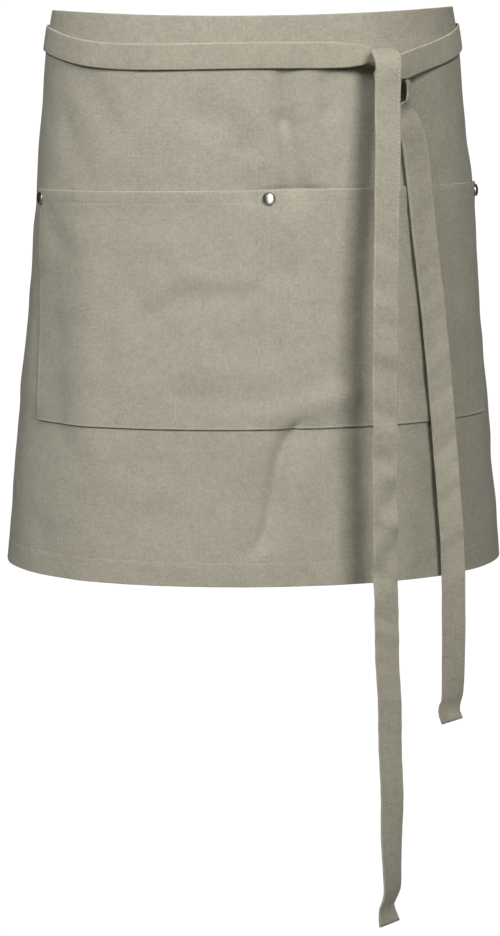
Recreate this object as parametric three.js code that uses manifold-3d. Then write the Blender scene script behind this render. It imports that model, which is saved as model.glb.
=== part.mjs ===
// Bistro apron: a waist apron with one wide riveted pocket, tied at the front with a half knot.
// Millimetres, +Z up. The front faces -Y and +X is the viewer's right.
// The origin is the middle of the waist, level with the ties at the sides.

import * as THREE from 'three';
import { mergeVertices } from 'three/addons/utils/BufferGeometryUtils.js';
import Module from 'manifold-3d';

const wasm = await Module();
wasm.setup();

// Panel, as cut and hemmed
const PANEL_WIDTH = 750;
const PANEL_LENGTH = 451;
const CANVAS = 1.2;
const HEM_LAYER = 1.0;
const WAIST_HEM = 22;
const SIDE_HEM = 10;
const BOTTOM_HEM = 18;
const HEM_SLOPE = 2;

// Panel, as worn
const TOP_HEIGHT = 12.2;
const PANEL_SHIFT = 11;
const FULLNESS = 2.1;

// Pocket
const POCKET_WIDTH = 425;
const POCKET_DEPTH = 189;
const POCKET_DROP = 132.5;
const POCKET_BOTTOM = POCKET_DROP + POCKET_DEPTH;
const POCKET_HEM = 11;
const POCKET_GAPE = 1.5;
const GAPE_REACH = 30;

// Ties
const TIE_WIDTH = 20;
const TIE_CLOTH = 1.8;
const LOOP_RADIUS = 16.1;
const LOOP_LEVEL = -5.3;

// Rivets
const RIVET_RADIUS = 5;
const RIVET_RIM = 0.6;
const RIVET_CROWN = 1.7;
const POST_RADIUS = 1.4;
const BURR_RADIUS = 4;
const BURR_THICKNESS = 1;
const BURR_GAP = 0.8;
const RIVET_INSET = 7;
const RIVET_SIDE_INSET = 3.5;

// Clearance between pieces that lie on each other, and the play of a rivet post in its hole
const GAP = 0.45;
const HOLE_PLAY = 0.5;

// Fineness of the cloth walls
const CLOTH_COLUMN = 12.5;
const CLOTH_ROW = 26;
const SECTION_STEPS = 360;

// Fineness of the ties: degrees between stations round the waist, then the length of one step
// along a tie and the fewest and most steps between two stations
const WAIST_STEP = 10;
const TIE_STEP = 12;
const FEWEST_STEPS = 3;
const MOST_STEPS = 6;

// Fineness of the rivets: sides of the cap and of its hole, and the rings of the crown as parts of
// its quarter turn
const RIVET_SIDES = 20;
const HOLE_SIDES = 12;
const HOLE_LENGTH = 20;
const CROWN_RINGS = [0.35, 0.65, 0.85];

// Half the distance, in millimetres and in radians, over which a direction is measured
const PROBE = 0.5;
const PROBE_ANGLE = 0.01;

// Level sections of the worn skirt, from the top edge to the bottom hem.
// drop: below the top edge. halfWidth, front, back: reach from the section's middle to each side.
// aside, behind: where its middle lies, to the right and to the back.
// rise: how much higher the sides run than the middle of the front. tilt: slope up to the right.
const SECTIONS = [
  { drop: 0, halfWidth: 164.5, front: 117, back: 112, aside: 0, behind: 0, rise: 14, tilt: 0.009 },
  { drop: 30, halfWidth: 170.3, front: 118, back: 114, aside: 0, behind: 0, rise: 11.5, tilt: 0.01 },
  { drop: 80, halfWidth: 175.4, front: 118, back: 114, aside: 0.2, behind: 2, rise: 6.5, tilt: 0.013 },
  { drop: 132, halfWidth: 182.1, front: 118, back: 113, aside: 1.5, behind: 5, rise: 3, tilt: 0.016 },
  { drop: 220, halfWidth: 190.9, front: 125, back: 106, aside: 1.3, behind: 15, rise: 0, tilt: 0.014 },
  { drop: 320, halfWidth: 202.6, front: 136, back: 95, aside: 1.1, behind: 28, rise: 0, tilt: 0.012 },
  { drop: 450, halfWidth: 216.4, front: 140, back: 92, aside: 1, behind: 34, rise: -1, tilt: 0.008 },
];

// Soft folds in the cloth: a furrow or ridge from one place to another.
// Places are across the panel from its middle line and down from its top edge.
const FOLDS = [
  { across: 16, drop: 330, toAcross: -3, toDrop: 408, width: 13, height: -2.6 },
  { across: 46, drop: 322, toAcross: 20, toDrop: 425, width: 20, height: 1.2 },
  { across: -146, drop: 56, toAcross: -126, toDrop: 84, width: 14, height: -2 },
  { across: -174, drop: 80, toAcross: -160, toDrop: 106, width: 12, height: -1.6 },
  { across: 14, drop: 66, toAcross: 24, toDrop: 130, width: 13, height: -2.4 },
  { across: -20, drop: 102, toAcross: -20, toDrop: 130, width: 11, height: -1.8 },
  { across: -55, drop: 352, toAcross: -90, toDrop: 395, width: 16, height: -1.8 },
  { across: -146, drop: 180, toAcross: -146, toDrop: 420, width: 28, height: 1.6 },
  { across: -205, drop: 205, toAcross: -202, toDrop: 330, width: 22, height: -2.2 },
];

// Ties round the waist: angle travelled from the middle of the front, the long way round the back,
// drop of the tie's middle below the top edge, and its lift off the panel's face.
const LEFT_TIE_WAIST = [
  { angle: 143, drop: 11, lift: 1.7 },
  { angle: 154, drop: 12, lift: 1.7 },
  { angle: 180, drop: 22, lift: 1.7 },
  { angle: 206, drop: 32.5, lift: 1.7 },
  { angle: 216, drop: 33.5, lift: 1.7 },
  { angle: 232, drop: 31, lift: 1.7 },
  { angle: 270, drop: 20.2, lift: 1.7 },
  { angle: 317, drop: 31.2, lift: 1.7 },
  { angle: 360, drop: 30, lift: 1.7 },
  { angle: 379, drop: 31, lift: 2.4 },
];
const RIGHT_TIE_WAIST = [
  { angle: 138, drop: 11, lift: 1.8 },
  { angle: 146, drop: 11, lift: 2.8 },
  { angle: 154, drop: 12, lift: 4.4 },
  { angle: 180, drop: 22, lift: 4.5 },
  { angle: 206, drop: 32.5, lift: 4.4 },
  { angle: 215, drop: 33.5, lift: 2.8 },
  { angle: 232, drop: 31, lift: 1.8 },
  { angle: 270, drop: 22, lift: 1.8 },
  { angle: 302, drop: 33, lift: 3 },
];

// The knot, measured from a point on the panel's face: right, out to the front and up.
// slant turns the tie's width from level, 0, to upright, 90, and turn swings it about the upright.
const KNOT = { x: 103, y: -98, z: -24 };
const LEFT_TIE_KNOT = [
  { right: -31.5, out: 15.4, up: 6.5, width: 18.8, cloth: 1.8, slant: 90, turn: 0 },
  { right: -22, out: 15.6, up: 6.8, width: 16.8, cloth: 2, slant: 90, turn: 0 },
  { right: -15, out: 15, up: 6.4, width: 14, cloth: 2.4, slant: 90, turn: 0 },
  { right: -11.6, out: 14, up: 4.8, width: 10, cloth: 2.8, slant: 90, turn: 0 },
  { right: -9, out: 13.4, up: 2.8, width: 6, cloth: 3.2, slant: 90, turn: 0 },
  { right: -3, out: 12.4, up: 0.5, width: 6.6, cloth: 3.4, slant: 80, turn: 0 },
  { right: 3.6, out: 10.6, up: -2.8, width: 7, cloth: 3.4, slant: 60, turn: 0 },
  { right: 9.6, out: 5.2, up: -6.4, width: 7.2, cloth: 3.2, slant: 45, turn: 10 },
  { right: 15.4, out: 0.6, up: -8.8, width: 8, cloth: 2.8, slant: 20, turn: 55 },
  { right: 18.2, out: -0.4, up: -13, width: 10.5, cloth: 2.4, slant: 4, turn: 73 },
  { right: 18.9, out: -0.4, up: -17.5, width: 13, cloth: 2.2, slant: 0, turn: 75 },
  { right: 19.6, out: -0.4, up: -23, width: 16.5, cloth: 2, slant: 0, turn: 71 },
  { right: 20, out: -0.5, up: -28.5, width: 18.5, cloth: 1.8, slant: 0, turn: 62 },
  { right: 17.4, out: -0.7, up: -34, width: 20, cloth: 1.8, slant: 0, turn: 38 },
  { right: 17.6, out: -1.2, up: -41, width: 20, cloth: 1.8, slant: 0, turn: 19 },
  { right: 20.2, out: -1.5, up: -48, width: 20, cloth: 1.8, slant: 0, turn: 14 },
];
const RIGHT_TIE_KNOT = [
  { right: 23, out: -2, up: 2.5, width: 20, cloth: 1.8, slant: 90, turn: 0 },
  { right: 13, out: 9, up: -1.5, width: 20, cloth: 1.8, slant: 90, turn: 0 },
  { right: 5, out: 15.5, up: -1, width: 14, cloth: 2.4, slant: 90, turn: 0 },
  { right: -2, out: 17.5, up: -2.5, width: 8, cloth: 3.2, slant: 108, turn: 0 },
  { right: -5, out: 15.5, up: -8, width: 7, cloth: 3.4, slant: 150, turn: 0 },
  { right: -5.5, out: 10.5, up: -11, width: 7, cloth: 3.2, slant: 175, turn: 0 },
  { right: -5.5, out: 7.2, up: -6, width: 8, cloth: 2.4, slant: 180, turn: 0 },
];

// The long end's fold over the top of the knot, half a circle from back to front.
const LOOP_FOLD = [
  { degrees: 0, right: -2.8, width: 10.8 },
  { degrees: 45, right: -0.8, width: 11 },
  { degrees: 75, right: -0.4, width: 12.4 },
  { degrees: 100, right: -3.2, width: 18.6 },
  { degrees: 130, right: -2, width: 20 },
  { degrees: 155, right: 0, width: 20 },
  { degrees: 180, right: 0.1, width: 20 },
];

// Hanging ends below the knot: middle of the tie in the apron's own frame.
const LEFT_TIE_END = [
  { x: 127.8, y: -94, z: -88, width: 20, slant: 0, turn: 6 },
  { x: 136.2, y: -89, z: -152, width: 20, slant: 0, turn: 6 },
  { x: 143.9, y: -84.5, z: -208, width: 20, slant: 0, turn: 6 },
  { x: 151.5, y: -80, z: -273, width: 20, slant: 0, turn: 6 },
  { x: 158.2, y: -76.5, z: -339, width: 20, slant: 0, turn: 6 },
  { x: 164.4, y: -74.5, z: -406, width: 20, slant: 0, turn: 6 },
  { x: 166.4, y: -74, z: -448, width: 20, slant: 0, turn: 6 },
  { x: 167.3, y: -74, z: -495, width: 20, slant: 0, turn: 8 },
  { x: 167.1, y: -74.5, z: -536, width: 20, slant: 0, turn: 20 },
  { x: 165.5, y: -75, z: -545.8, width: 20, slant: 2, turn: 30 },
  { x: 164.4, y: -78, z: -551.8, width: 19.5, slant: 6, turn: 18 },
  { x: 166.6, y: -82, z: -558.4, width: 18.5, slant: 14.6, turn: 4 },
];
const RIGHT_TIE_END = [
  { x: 102.7, y: -136, z: -52.1, width: 20, slant: 180, turn: 6 },
  { x: 103, y: -141.5, z: -90, width: 20, slant: 180, turn: 10 },
  { x: 102.2, y: -148.5, z: -203.1, width: 20, slant: 180, turn: 12 },
  { x: 102.9, y: -147.5, z: -295.6, width: 20, slant: 180, turn: 12 },
  { x: 104.8, y: -143, z: -408.1, width: 20, slant: 180, turn: 13 },
  { x: 107.6, y: -139, z: -490, width: 20, slant: 180, turn: 14 },
  { x: 109.8, y: -137.5, z: -527.4, width: 20, slant: 180, turn: 15 },
  { x: 111.1, y: -136.5, z: -565.8, width: 20, slant: 180, turn: 17 },
  { x: 112.9, y: -136, z: -608, width: 20, slant: 180, turn: 20 },
  { x: 113.1, y: -136, z: -642.1, width: 20, slant: 180, turn: 28 },
  { x: 113.6, y: -136, z: -667.2, width: 20, slant: 180, turn: 38 },
  { x: 114, y: -136, z: -684.3, width: 20, slant: 181, turn: 43 },
  { x: 112.2, y: -136, z: -691.7, width: 20, slant: 184, turn: 47 },
  { x: 110, y: -136.5, z: -698.2, width: 20, slant: 190, turn: 49 },
  { x: 110.2, y: -137, z: -704.3, width: 19.5, slant: 198, turn: 46 },
  { x: 112.1, y: -138, z: -712.8, width: 19.5, slant: 219, turn: 38 },
];

// Value of a table's column at any place between its rows: a cubic through the rows, whose slope
// at each row is the slope between that row's two neighbours.
function through(rows, key, column, place) {
  const last = rows.length - 1;
  let row = 0;
  while (row < last - 1 && place > rows[row + 1][key]) {
    row += 1;
  }
  const slope = (index) => {
    const before = rows[Math.max(index - 1, 0)];
    const after = rows[Math.min(index + 1, last)];
    return (after[column] - before[column]) / (after[key] - before[key]);
  };
  const span = rows[row + 1][key] - rows[row][key];
  const t = (place - rows[row][key]) / span;
  const stay = (1 + 2 * t) * (1 - t) ** 2;
  const leave = t * (1 - t) ** 2 * span * slope(row);
  const arrive = t ** 2 * (t - 1) * span * slope(row + 1);
  return rows[row][column] * stay + rows[row + 1][column] * (1 - stay) + leave + arrive;
}

// Rounds a sine or cosine towards a fuller section than an ellipse.
function fuller(value) {
  return Math.sign(value) * Math.abs(value) ** (2 / FULLNESS);
}

// Point on a level section at an angle from the middle of the front, positive to the right.
function onSection(section, angle) {
  const x = section.aside + section.halfWidth * fuller(Math.sin(angle));
  const facing = fuller(Math.cos(angle));
  const y = section.behind - facing * (facing > 0 ? section.front : section.back);
  const risen = section.rise * (1 - facing) * (1 + facing / 2) + section.tilt * x;
  return new THREE.Vector3(x, y, TOP_HEIGHT - section.drop + risen);
}

// Section at one drop, with the length of cloth from the middle of the front to each angle.
const sections = new Map();
function sectionAt(drop) {
  if (!sections.has(drop)) {
    const section = { drop };
    for (const column of ['halfWidth', 'front', 'back', 'aside', 'behind', 'rise', 'tilt']) {
      section[column] = through(SECTIONS, 'drop', column, drop);
    }
    section.lengths = [-1, 1].map((side) => {
      const lengths = [0];
      for (let step = 1; step <= SECTION_STEPS; step += 1) {
        const from = onSection(section, (side * Math.PI * (step - 1)) / SECTION_STEPS);
        const to = onSection(section, (side * Math.PI * step) / SECTION_STEPS);
        lengths.push(lengths[step - 1] + from.distanceTo(to));
      }
      return lengths;
    });
    sections.set(drop, section);
  }
  return sections.get(drop);
}

// Angle reached after a length of cloth from the middle of the front.
function angleAfter(section, length) {
  const lengths = section.lengths[length < 0 ? 0 : 1];
  const reach = Math.abs(length);
  let step = 1;
  while (step < SECTION_STEPS && lengths[step] < reach) {
    step += 1;
  }
  const part = (reach - lengths[step - 1]) / (lengths[step] - lengths[step - 1]);
  return (Math.sign(length) * Math.PI * (step - 1 + part)) / SECTION_STEPS;
}

// Height of the folds at a place on the panel: each fades with the distance from its own line.
function foldHeight(across, drop) {
  const place = new THREE.Vector2(across, drop);
  let height = 0;
  for (const fold of FOLDS) {
    const start = new THREE.Vector2(fold.across, fold.drop);
    const run = new THREE.Vector2(fold.toAcross, fold.toDrop).sub(start);
    const along = THREE.MathUtils.clamp(place.clone().sub(start).dot(run) / run.lengthSq(), 0, 1);
    const distance = start.addScaledVector(run, along).distanceTo(place);
    height += fold.height * Math.exp(-((distance / fold.width) ** 2));
  }
  return height;
}

// Point on the smooth skirt, before its folds.
function smoothSkirt(across, drop) {
  const section = sectionAt(drop);
  return onSection(section, angleAfter(section, across + PANEL_SHIFT));
}

// Outward direction of a surface given by two parameters, across and drop.
function outward(surface, across, drop) {
  const down = surface(across, drop + PROBE).sub(surface(across, drop - PROBE));
  const aside = surface(across + PROBE, drop).sub(surface(across - PROBE, drop));
  return down.cross(aside).normalize();
}

// Point on the panel's outer face, or lifted off it.
function onPanel(across, drop, lift = 0) {
  const normal = outward(smoothSkirt, across, drop);
  return smoothSkirt(across, drop).addScaledVector(normal, foldHeight(across, drop) + lift);
}

// One inside a hem that starts at an edge, nought past its sewn line.
function withinHem(fromEdge, hem) {
  return 1 - THREE.MathUtils.clamp((fromEdge - hem) / HEM_SLOPE, 0, 1);
}

// Evenly spaced values from low to high, with the sewn lines of hems added as values of their own.
function gridValues(low, high, spacing, sewnLines) {
  const count = Math.round((high - low) / spacing);
  const values = [...sewnLines];
  for (let index = 0; index <= count; index += 1) {
    const value = low + ((high - low) * index) / count;
    const crowded = sewnLines.some((line) => Math.abs(line - value) < spacing / 3);
    if (index === 0 || index === count || !crowded) {
      values.push(value);
    }
  }
  return values.sort((first, second) => first - second);
}

// Closed wall of cloth between an outer and an inner surface over a grid of across and drop.
function clothWall(acrossValues, dropValues, outer, inner) {
  const columns = acrossValues.length;
  const rows = dropValues.length;
  const right = columns - 1;
  const bottom = rows - 1;
  const positions = [];
  for (const surface of [outer, inner]) {
    for (const drop of dropValues) {
      for (const across of acrossValues) {
        positions.push(...surface(across, drop).toArray());
      }
    }
  }
  const triangles = [];
  const quad = (a, b, c, d) => triangles.push(a, b, c, a, c, d);
  const out = (column, row) => row * columns + column;
  const back = (column, row) => columns * rows + out(column, row);
  for (let row = 0; row < bottom; row += 1) {
    for (let column = 0; column < right; column += 1) {
      quad(out(column, row), out(column, row + 1), out(column + 1, row + 1), out(column + 1, row));
      quad(back(column, row), back(column + 1, row), back(column + 1, row + 1), back(column, row + 1));
    }
    quad(out(0, row), back(0, row), back(0, row + 1), out(0, row + 1));
    quad(out(right, row), out(right, row + 1), back(right, row + 1), back(right, row));
  }
  for (let column = 0; column < right; column += 1) {
    quad(out(column, 0), out(column + 1, 0), back(column + 1, 0), back(column, 0));
    quad(out(column, bottom), back(column, bottom), back(column + 1, bottom), out(column + 1, bottom));
  }
  const geometry = new THREE.BufferGeometry();
  geometry.setAttribute('position', new THREE.Float32BufferAttribute(positions, 3));
  geometry.setIndex(triangles);
  return geometry;
}

// The apron's canvas: doubled on the inside along its hems.
function panelGeometry() {
  const edge = PANEL_WIDTH / 2;
  const thickness = (across, drop) => {
    const hem = Math.max(
      withinHem(drop, WAIST_HEM),
      withinHem(PANEL_LENGTH - drop, BOTTOM_HEM),
      withinHem(edge - Math.abs(across), SIDE_HEM),
    );
    return CANVAS + HEM_LAYER * hem;
  };
  const sideLines = [SIDE_HEM, SIDE_HEM + HEM_SLOPE].flatMap((inset) => [inset - edge, edge - inset]);
  const bottomLine = PANEL_LENGTH - BOTTOM_HEM;
  const columns = gridValues(-edge, edge, CLOTH_COLUMN, sideLines);
  const pocketRows = gridValues(POCKET_DROP, POCKET_BOTTOM, CLOTH_ROW, []);
  const rows = [
    ...gridValues(0, POCKET_DROP, CLOTH_ROW, [WAIST_HEM, WAIST_HEM + HEM_SLOPE]).slice(0, -1),
    ...pocketRows,
    ...gridValues(POCKET_BOTTOM, PANEL_LENGTH, CLOTH_ROW, [bottomLine - HEM_SLOPE, bottomLine]).slice(1),
  ];
  const inner = (across, drop) => onPanel(across, drop, -thickness(across, drop));
  return clothWall(columns, rows, onPanel, inner);
}

// How far the pocket's outer face stands off the panel: sewn flat, doubled along its top hem,
// and gaping a little between the rivets.
function pocketLift(across, drop) {
  const fromTop = drop - POCKET_DROP;
  const hem = withinHem(fromTop, POCKET_HEM);
  const betweenRivets = Math.sin((2 * Math.PI * across) / (POCKET_WIDTH - 2 * RIVET_SIDE_INSET)) ** 2;
  const gape = POCKET_GAPE * betweenRivets * Math.exp(-((fromTop / GAPE_REACH) ** 2));
  return GAP + CANVAS + HEM_LAYER * hem + gape;
}

function pocketGeometry() {
  const edge = POCKET_WIDTH / 2;
  const sewn = POCKET_DROP + POCKET_HEM;
  const columns = gridValues(-edge, edge, CLOTH_COLUMN, []);
  const rows = gridValues(POCKET_DROP, POCKET_BOTTOM, CLOTH_ROW, [sewn, sewn + HEM_SLOPE]);
  const outer = (across, drop) => onPanel(across, drop, pocketLift(across, drop));
  const inner = (across, drop) => {
    const thickness = CANVAS + HEM_LAYER * withinHem(drop - POCKET_DROP, POCKET_HEM);
    return onPanel(across, drop, pocketLift(across, drop) - thickness);
  };
  return clothWall(columns, rows, outer, inner);
}

// Direction of a tie's width from its slant and turn in degrees.
function widthDirection(slant, turn) {
  const level = Math.cos(THREE.MathUtils.degToRad(slant));
  const upright = Math.sin(THREE.MathUtils.degToRad(slant));
  const swing = THREE.MathUtils.degToRad(turn);
  return new THREE.Vector3(level * Math.cos(swing), level * Math.sin(swing), upright);
}

// One station of a tie: its middle, the direction of its width, and its width and thickness.
function station(middle, direction, width, cloth) {
  return {
    x: middle.x,
    y: middle.y,
    z: middle.z,
    acrossX: direction.x,
    acrossY: direction.y,
    acrossZ: direction.z,
    width,
    cloth,
  };
}

// Stations of a tie round the waist. side is 1 for a tie that sets out from the right rear corner
// and -1 for one that sets out from the left.
function waistStations(route, side) {
  const first = route[0].angle;
  const last = route[route.length - 1].angle;
  const count = Math.round((last - first) / WAIST_STEP);
  const stations = [];
  for (let index = 0; index <= count; index += 1) {
    const degrees = first + ((last - first) * index) / count;
    const angle = THREE.MathUtils.degToRad(side * degrees);
    const drop = through(route, 'angle', 'drop', degrees);
    const lift = through(route, 'angle', 'lift', degrees);
    const round = (turned, dropped) => onSection(sectionAt(dropped), turned);
    const up = round(angle, drop - PROBE).sub(round(angle, drop + PROBE)).normalize();
    const aside = round(angle + PROBE_ANGLE, drop).sub(round(angle - PROBE_ANGLE, drop)).normalize();
    const out = aside.cross(up).normalize();
    stations.push(station(round(angle, drop).addScaledVector(out, lift), up, TIE_WIDTH, TIE_CLOTH));
  }
  return stations;
}

function knotStations(rows) {
  return rows.map((row) => {
    const middle = new THREE.Vector3(KNOT.x + row.right, KNOT.y - row.out, KNOT.z + row.up);
    return station(middle, widthDirection(row.slant, row.turn), row.width, row.cloth);
  });
}

function endStations(rows) {
  return rows.map((row) => {
    const middle = new THREE.Vector3(row.x, row.y, row.z);
    return station(middle, widthDirection(row.slant, row.turn), row.width, TIE_CLOTH);
  });
}

// Stations of the fold over the knot: it turns about a level line behind the hanging end.
function foldStations(rows) {
  const front = RIGHT_TIE_END[0].y;
  return rows.map((row) => {
    const angle = THREE.MathUtils.degToRad(row.degrees);
    const y = front + LOOP_RADIUS * (1 + Math.cos(angle));
    const z = KNOT.z + LOOP_LEVEL + LOOP_RADIUS * Math.sin(angle);
    const middle = new THREE.Vector3(KNOT.x + row.right, y, z);
    return station(middle, widthDirection(180, 0), row.width, TIE_CLOTH);
  });
}

// Flat strip swept through stations: a rectangle carried along, closed at both ends.
function stripGeometry(stations) {
  const columns = ['x', 'y', 'z', 'acrossX', 'acrossY', 'acrossZ', 'width', 'cloth'];
  let along = 0;
  stations.forEach((row, index) => {
    if (index > 0) {
      along += new THREE.Vector3().copy(row).distanceTo(stations[index - 1]);
    }
    row.along = along;
  });
  const places = [0];
  for (let index = 1; index < stations.length; index += 1) {
    const from = stations[index - 1].along;
    const span = stations[index].along - from;
    const steps = THREE.MathUtils.clamp(Math.round(span / TIE_STEP), FEWEST_STEPS, MOST_STEPS);
    for (let step = 1; step <= steps; step += 1) {
      places.push(from + (span * step) / steps);
    }
  }
  const at = (place) => {
    const row = {};
    for (const column of columns) {
      row[column] = through(stations, 'along', column, place);
    }
    return row;
  };
  const positions = [];
  for (const place of places) {
    const row = at(place);
    const before = at(Math.max(place - PROBE, 0));
    const after = at(Math.min(place + PROBE, along));
    const tangent = new THREE.Vector3().copy(after).sub(before).normalize();
    const across = new THREE.Vector3(row.acrossX, row.acrossY, row.acrossZ);
    across.addScaledVector(tangent, -across.dot(tangent)).normalize();
    const normal = tangent.clone().cross(across);
    const middle = new THREE.Vector3().copy(row);
    for (const [aside, out] of [[-1, -1], [1, -1], [1, 1], [-1, 1]]) {
      const corner = middle.clone().addScaledVector(across, (aside * row.width) / 2);
      positions.push(...corner.addScaledVector(normal, (out * row.cloth) / 2).toArray());
    }
  }
  const triangles = [0, 2, 1, 0, 3, 2];
  for (let ring = 0; ring < places.length - 1; ring += 1) {
    for (let corner = 0; corner < 4; corner += 1) {
      const here = ring * 4 + corner;
      const beside = ring * 4 + ((corner + 1) % 4);
      triangles.push(here, beside, beside + 4, here, beside + 4, here + 4);
    }
  }
  const end = (places.length - 1) * 4;
  triangles.push(end, end + 1, end + 2, end, end + 2, end + 3);
  const geometry = new THREE.BufferGeometry();
  geometry.setAttribute('position', new THREE.Float32BufferAttribute(positions, 3));
  geometry.setIndex(triangles);
  return geometry;
}

// Rivet along +Y from the panel's outer face: a burr inside the panel, a post through both cloths
// and a low crowned cap outside the pocket's hem.
function rivetGeometry() {
  const inside = -CANVAS - BURR_GAP;
  const seat = 2 * GAP + CANVAS + HEM_LAYER;
  const profile = [
    new THREE.Vector2(0, inside - BURR_THICKNESS),
    new THREE.Vector2(BURR_RADIUS, inside - BURR_THICKNESS),
    new THREE.Vector2(BURR_RADIUS, inside),
    new THREE.Vector2(POST_RADIUS, inside),
    new THREE.Vector2(POST_RADIUS, seat),
    new THREE.Vector2(RIVET_RADIUS, seat),
    new THREE.Vector2(RIVET_RADIUS, seat + RIVET_RIM),
  ];
  for (const part of CROWN_RINGS) {
    const angle = (part * Math.PI) / 2;
    const radius = RIVET_RADIUS * Math.cos(angle);
    profile.push(new THREE.Vector2(radius, seat + RIVET_RIM + RIVET_CROWN * Math.sin(angle)));
  }
  profile.push(new THREE.Vector2(0, seat + RIVET_RIM + RIVET_CROWN));
  return new THREE.LatheGeometry(profile, RIVET_SIDES);
}

// Where a rivet goes through the cloth: the point on the panel's face and the way out.
function rivetPlace(across) {
  const drop = POCKET_DROP + RIVET_INSET;
  const placement = new THREE.Object3D();
  placement.position.copy(onPanel(across, drop));
  placement.quaternion.setFromUnitVectors(new THREE.Vector3(0, 1, 0), outward(onPanel, across, drop));
  placement.updateMatrix();
  return placement;
}

function toSolid(geometry) {
  const plain = geometry.clone();
  plain.deleteAttribute('normal');
  plain.deleteAttribute('uv');
  const merged = mergeVertices(plain);
  const vertProperties = new Float32Array(merged.attributes.position.array);
  const triVerts = new Uint32Array(merged.index.array);
  return new wasm.Manifold(new wasm.Mesh({ numProp: 3, vertProperties, triVerts }));
}

function toGeometry(solid) {
  const mesh = solid.getMesh();
  const geometry = new THREE.BufferGeometry();
  geometry.setAttribute('position', new THREE.Float32BufferAttribute(mesh.vertProperties, 3));
  geometry.setIndex([...mesh.triVerts]);
  return geometry;
}

// Cuts the holes for the rivet posts through a cloth wall.
function pierced(geometry, places) {
  const radius = POST_RADIUS + HOLE_PLAY;
  let solid = toSolid(geometry);
  for (const place of places) {
    const hole = new THREE.CylinderGeometry(radius, radius, HOLE_LENGTH, HOLE_SIDES);
    solid = solid.subtract(toSolid(hole.applyMatrix4(place.matrix)));
  }
  return toGeometry(solid);
}

const canvasFinish = { color: 0x9a9580, roughness: 0.92, metalness: 0 };
const tieFinish = { color: 0x9d9883, roughness: 0.92, metalness: 0 };
const rivetFinish = { color: 0x4a443c, roughness: 0.22, metalness: 1 };

const apron = new THREE.Group();

function addPiece(name, geometry, finish) {
  const mesh = new THREE.Mesh(geometry, new THREE.MeshStandardMaterial(finish));
  mesh.name = name;
  apron.add(mesh);
  return mesh;
}

const rivetReach = POCKET_WIDTH / 2 - RIVET_SIDE_INSET;
const rivets = { rivet_left: -rivetReach, rivet_centre: 0, rivet_right: rivetReach };
const rivetPlaces = Object.values(rivets).map(rivetPlace);

addPiece('skirt_panel', pierced(panelGeometry(), rivetPlaces), canvasFinish);
addPiece('pocket', pierced(pocketGeometry(), rivetPlaces), canvasFinish);

const leftTie = [
  ...waistStations(LEFT_TIE_WAIST, 1),
  ...knotStations(LEFT_TIE_KNOT),
  ...endStations(LEFT_TIE_END),
];
addPiece('left_tie', stripGeometry(leftTie), tieFinish);

const rightTie = [
  ...waistStations(RIGHT_TIE_WAIST, -1),
  ...knotStations(RIGHT_TIE_KNOT),
  ...foldStations(LOOP_FOLD),
  ...endStations(RIGHT_TIE_END),
];
addPiece('right_tie', stripGeometry(rightTie), tieFinish);

Object.keys(rivets).forEach((name, index) => {
  const rivet = addPiece(name, rivetGeometry(), rivetFinish);
  rivet.position.copy(rivetPlaces[index].position);
  rivet.quaternion.copy(rivetPlaces[index].quaternion);
});

export default apron;
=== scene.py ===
# Bistro apron dressed over its solids: canvas panel, riveted pocket, folded ties and stitching.
# Lengths in the tables are millimetres in the solids' own frame, and meshes are made in metres.

import bpy
import numpy as np
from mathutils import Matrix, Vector


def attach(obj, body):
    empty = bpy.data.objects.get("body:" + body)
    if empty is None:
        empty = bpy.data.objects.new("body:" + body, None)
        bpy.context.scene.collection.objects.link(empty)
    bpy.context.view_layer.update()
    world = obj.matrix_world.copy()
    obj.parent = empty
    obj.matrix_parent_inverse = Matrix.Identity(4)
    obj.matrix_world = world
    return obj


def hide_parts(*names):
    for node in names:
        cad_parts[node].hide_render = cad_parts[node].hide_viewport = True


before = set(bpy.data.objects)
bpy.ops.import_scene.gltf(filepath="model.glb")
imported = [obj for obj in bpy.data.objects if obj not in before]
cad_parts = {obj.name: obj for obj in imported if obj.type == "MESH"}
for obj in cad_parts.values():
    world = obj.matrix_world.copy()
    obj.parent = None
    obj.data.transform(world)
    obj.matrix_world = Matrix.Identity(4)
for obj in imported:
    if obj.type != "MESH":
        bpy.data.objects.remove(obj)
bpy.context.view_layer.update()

MM = 0.001


def table(columns, rows):
    """Short table: a dictionary of each column's name and its values as an array."""
    return dict(zip(columns.split(), np.array(rows, float).T))


# Panel
PANEL_WIDTH = 750
PANEL_LENGTH = 451
PANEL_SHIFT = 11
TOP_HEIGHT = 12.2
FULLNESS = 2.1
CANVAS = 1.0
HEM_LAYER = 0.9
WAIST_HEM = 22
SIDE_HEM = 10
BOTTOM_HEM = 21
HEM_SLOPE = 1.2
PANEL_EDGE_RADIUS = 0.85

# Pocket, and the panel drawn back behind its mouth
POCKET_WIDTH = 425
POCKET_DEPTH = 189
POCKET_DROP = 132.5
POCKET_BOTTOM = POCKET_DROP + POCKET_DEPTH
POCKET_HEM = 11
POCKET_LIFT = 1.65
POCKET_HEM_LIFT = 1.0
POCKET_HEM_LAYER = 0.65
POCKET_EDGE_RADIUS = 0.45
POCKET_WEAVE_SHIFT = 0.3
POCKET_GAPE = 1.5
GAPE_REACH = 30
MOUTH_DEPTH = 2.2
MOUTH_MIDDLE = 20
MOUTH_HALF = 26
MOUTH_REACH = 2.6
MOUTH_LINE = POCKET_DROP - 1

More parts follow.
